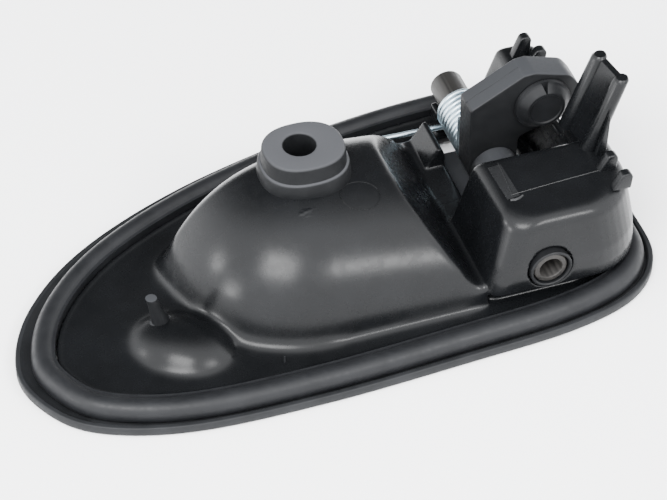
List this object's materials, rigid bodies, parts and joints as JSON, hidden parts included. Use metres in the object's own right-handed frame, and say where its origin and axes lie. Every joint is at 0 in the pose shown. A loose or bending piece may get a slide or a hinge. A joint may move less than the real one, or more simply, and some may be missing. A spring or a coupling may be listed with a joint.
{
  "type": "interior car door handle",
  "caption": "Interior car door handle lying face down: sealed bezel, finger cup, hinged pull lever, bellcrank with rod clip, return spring and screw boss.",
  "frame": {"origin": "middle of the handle's footprint, on the plane of the bezel's front edge, which it lies on", "axes": "+X along the handle from the finger cup's tip to the hinge, +Y across it along the pivot shaft, +Z from the bezel's front to the back of the handle"},
  "size_m": [0.1615, 0.0958, 0.0474],
  "materials": {
    "moulded_black": "semi-gloss moulded black plastic",
    "flange_plastic": "fine-grained matte dark grey plastic",
    "seal_rubber": "matte moulded rubber",
    "shaft_steel": "dull grey-brown phosphated steel",
    "spring_steel": "bright zinc-plated spring wire",
    "clip_plastic": "semi-gloss black acetal",
    "stop_rubber": "matte black rubber"
  },
  "bodies": {
    "housing": {"bezel_flange": "flange_plastic", "rim_seal": "seal_rubber", "tray": "moulded_black", "cup_housing": "moulded_black", "screw_boss": "moulded_black", "locating_peg": "moulded_black", "hinge_box": "moulded_black", "hinge_block": "moulded_black", "shaft_saddle": "moulded_black", "hinge_floor": "moulded_black", "spring_cover": "moulded_black", "end_wall": "moulded_black", "guide_post": "moulded_black", "post_gusset": "moulded_black", "tab_near_1": "moulded_black", "tab_near_2": "moulded_black", "tab_far_1": "moulded_black", "tab_far_2": "moulded_black", "pivot_shaft": "shaft_steel", "shaft_bush": "clip_plastic", "stop_pad": "stop_rubber", "return_spring": "spring_steel"},
    "lever": {"pull_lever": "moulded_black", "bellcrank_arm": "moulded_black"},
    "clip": {"rod_clip": "clip_plastic"}
  },
  "joints": [
    {"name": "lever_pull", "type": "hinge", "parent": "housing", "child": "lever", "pos_m": [0.0487, 0, 0.0133], "axis": [0, -1, 0], "range_deg": [0, 35], "stiffness_Nm_per_rad": 0.12, "springref_deg": -34.38},
    {"name": "clip_swivel", "type": "hinge", "parent": "lever", "child": "clip", "pos_m": [0.061, 0, 0.031], "axis": [0, -1, 0], "range_deg": [-40, 40]}
  ]
}
